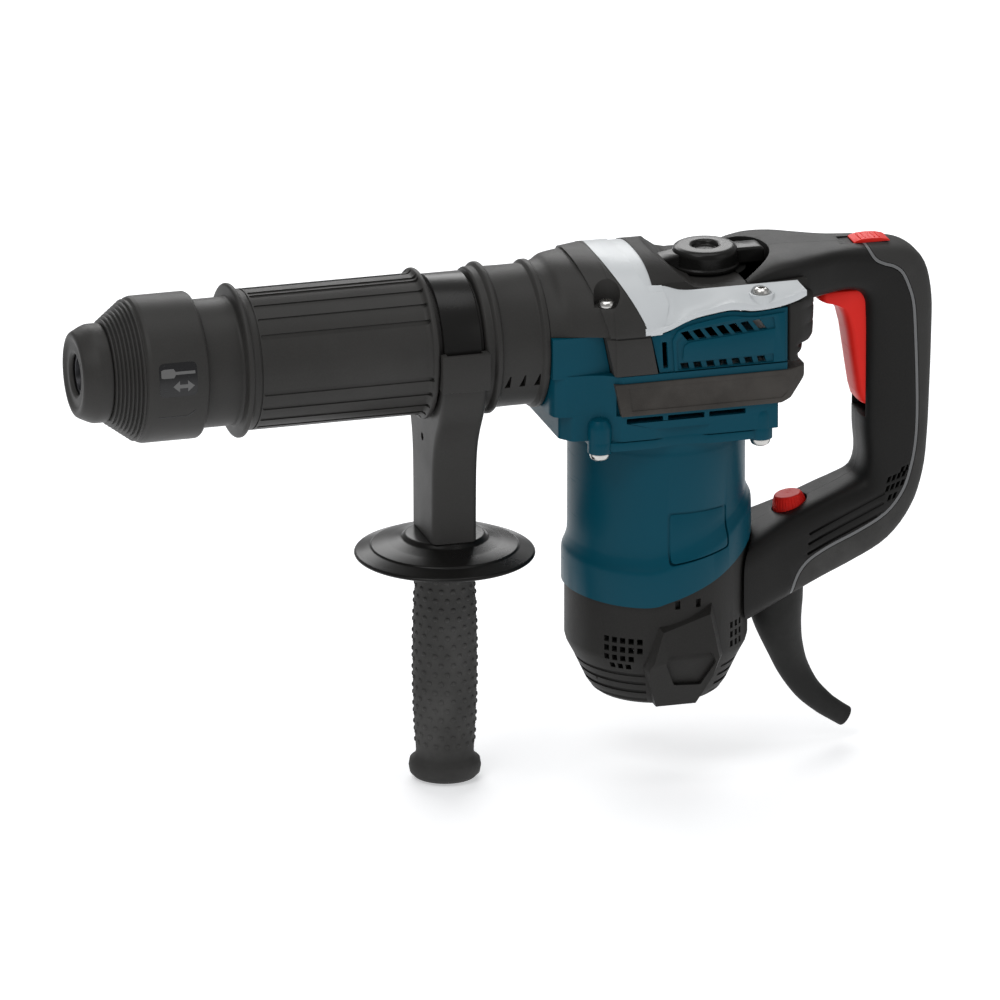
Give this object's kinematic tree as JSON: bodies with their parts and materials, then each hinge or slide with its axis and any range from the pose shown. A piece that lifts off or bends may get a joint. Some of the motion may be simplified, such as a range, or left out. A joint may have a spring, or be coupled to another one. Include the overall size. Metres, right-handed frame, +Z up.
{
  "type": "electric demolition hammer",
  "caption": "Electric demolition hammer with socket nose, locking sleeve, swivelling side handle, vertical motor, D-handle with trigger, and a crank-driven hammer mechanism inside.",
  "frame": {"origin": "mouth of the tool socket on the hammer axis", "axes": "+X back along the hammer axis to the rear handle, +Z up, motor hanging towards -Z"},
  "size_m": [0.468, 0.1035, 0.285],
  "materials": {
    "steel": "brushed",
    "zinc": "bright zinc",
    "bronze": "sintered",
    "copper": "wound copper",
    "black_plastic": "fine grain",
    "cover_plastic": "satin moulded",
    "warm_black": "matte bumper",
    "soft_rubber": "fine dotted",
    "gloss_black": "polished",
    "blue_plastic": "satin teal blue",
    "grey_trim": "satin light grey",
    "red_plastic": "satin red",
    "dark_rubber": "matte",
    "carbon": "carbon",
    "lamination": "laminated",
    "board_green": "circuit board",
    "aluminium_cast": "cast",
    "brush_brass": "pressed"
  },
  "bodies": {
    "housing": {"hammer_tube": "steel", "spindle_bush": "bronze", "front_grip_cover": "cover_plastic", "rear_barrel_cover": "cover_plastic", "top_front_shell": "black_plastic", "trim_band": "grey_trim", "top_cover": "black_plastic", "rear_housing": "black_plastic", "gear_housing": "blue_plastic", "side_vent_left": "blue_plastic", "side_vent_right": "blue_plastic", "bumper_belt": "warm_black", "gear_plate": "aluminium_cast", "crank_bearing": "steel", "motor_housing": "blue_plastic", "motor_cap": "black_plastic", "stator": "lamination", "field_coils": "copper", "brush_holders": "brush_brass", "carbon_brushes": "carbon", "upper_bearing": "steel", "lower_bearing": "steel", "handle_left": "black_plastic", "handle_right": "black_plastic", "soft_grip": "soft_rubber", "switch_module": "cover_plastic", "speed_module": "board_green", "trigger_pin": "steel", "trigger_spring": "steel", "cord_boot": "dark_rubber", "shell_screws": "zinc", "trim_screws": "zinc", "flange_screws": "zinc", "cap_screws": "zinc", "handle_screws": "zinc"},
    "tool_holder": {"tool_holder": "steel", "dust_cap": "dark_rubber", "locking_rollers": "steel", "sleeve_spring": "steel"},
    "locking_sleeve": {"locking_sleeve": "cover_plastic"},
    "side_handle": {"handle_strap": "gloss_black", "handle_bracket": "cover_plastic", "handle_bolt": "steel"},
    "side_grip": {"guard_disc": "gloss_black", "side_grip": "soft_rubber"},
    "trigger": {"trigger": "red_plastic"},
    "lock_slider": {"lock_slider": "red_plastic"},
    "speed_dial": {"speed_dial": "red_plastic"},
    "selector_knob": {"selector_knob": "gloss_black"},
    "armature": {"armature_shaft": "steel", "armature_core": "lamination", "commutator": "copper", "cooling_fan": "cover_plastic", "motor_pinion": "steel"},
    "crank": {"crank_gear": "steel"},
    "piston": {"piston": "aluminium_cast"},
    "connecting_rod": {"connecting_rod": "aluminium_cast"},
    "ram": {"ram": "steel"},
    "anvil": {"anvil": "steel"}
  },
  "joints": [
    {"name": "chisel_turn", "type": "hinge", "parent": "housing", "child": "tool_holder", "pos_m": [0.02, 0, 0], "axis": [1, 0, 0], "continuous": true},
    {"name": "sleeve_slide", "type": "slide", "parent": "tool_holder", "child": "locking_sleeve", "axis": [1, 0, 0], "range_m": [0, 0.01], "stiffness_N_per_m": 1000, "springref_m": -0.012, "deforming": ["sleeve_spring"]},
    {"name": "side_handle_swivel", "type": "hinge", "parent": "housing", "child": "side_handle", "pos_m": [0.1984, 0, 0], "axis": [1, 0, 0], "continuous": true},
    {"name": "grip_turn", "type": "hinge", "parent": "side_handle", "child": "side_grip", "pos_m": [0.1984, 0, -0.15], "axis": [0, 0, -1], "range_deg": [0, 720]},
    {"name": "trigger_pull", "type": "hinge", "parent": "housing", "child": "trigger", "pos_m": [0.43, 0, 0.002], "axis": [0, -1, 0], "range_deg": [0, 7], "stiffness_Nm_per_rad": 2, "springref_deg": -5.73, "deforming": ["trigger_spring"]},
    {"name": "lock_slide", "type": "slide", "parent": "housing", "child": "lock_slider", "axis": [-1, 0, 0], "range_m": [0, 0.006]},
    {"name": "speed_dial_turn", "type": "hinge", "parent": "housing", "child": "speed_dial", "pos_m": [0.388, 0, -0.1082], "axis": [-0.1736, 0, 0.9848], "range_deg": [0, 270]},
    {"name": "selector_turn", "type": "hinge", "parent": "housing", "child": "selector_knob", "pos_m": [0.341, 0, 0.03], "axis": [0, 0, 1], "range_deg": [0, 90]},
    {"name": "armature_spin", "type": "hinge", "parent": "housing", "child": "armature", "pos_m": [0.3145, 0, -0.09], "axis": [0, 0, 1], "continuous": true},
    {"name": "crank_spin", "type": "hinge", "parent": "housing", "child": "crank", "pos_m": [0.28263, 0, -0.025], "axis": [0, 0, 1], "continuous": true},
    {"name": "piston_slide", "type": "slide", "parent": "housing", "child": "piston", "axis": [-1, 0, 0], "range_m": [0, 0.026]},
    {"name": "rod_swing", "type": "hinge", "parent": "piston", "child": "connecting_rod", "pos_m": [0.23362, 0, 0], "axis": [0, 0, 1], "range_deg": [-12, 12]},
    {"name": "ram_slide", "type": "slide", "parent": "housing", "child": "ram", "axis": [-1, 0, 0], "range_m": [0, 0.012]},
    {"name": "anvil_slide", "type": "slide", "parent": "housing", "child": "anvil", "axis": [-1, 0, 0], "range_m": [0, 0.004]}
  ],
  "couplings": [
    {"joint": "crank_spin", "follows": "armature_spin", "ratio": -0.2439}
  ]
}
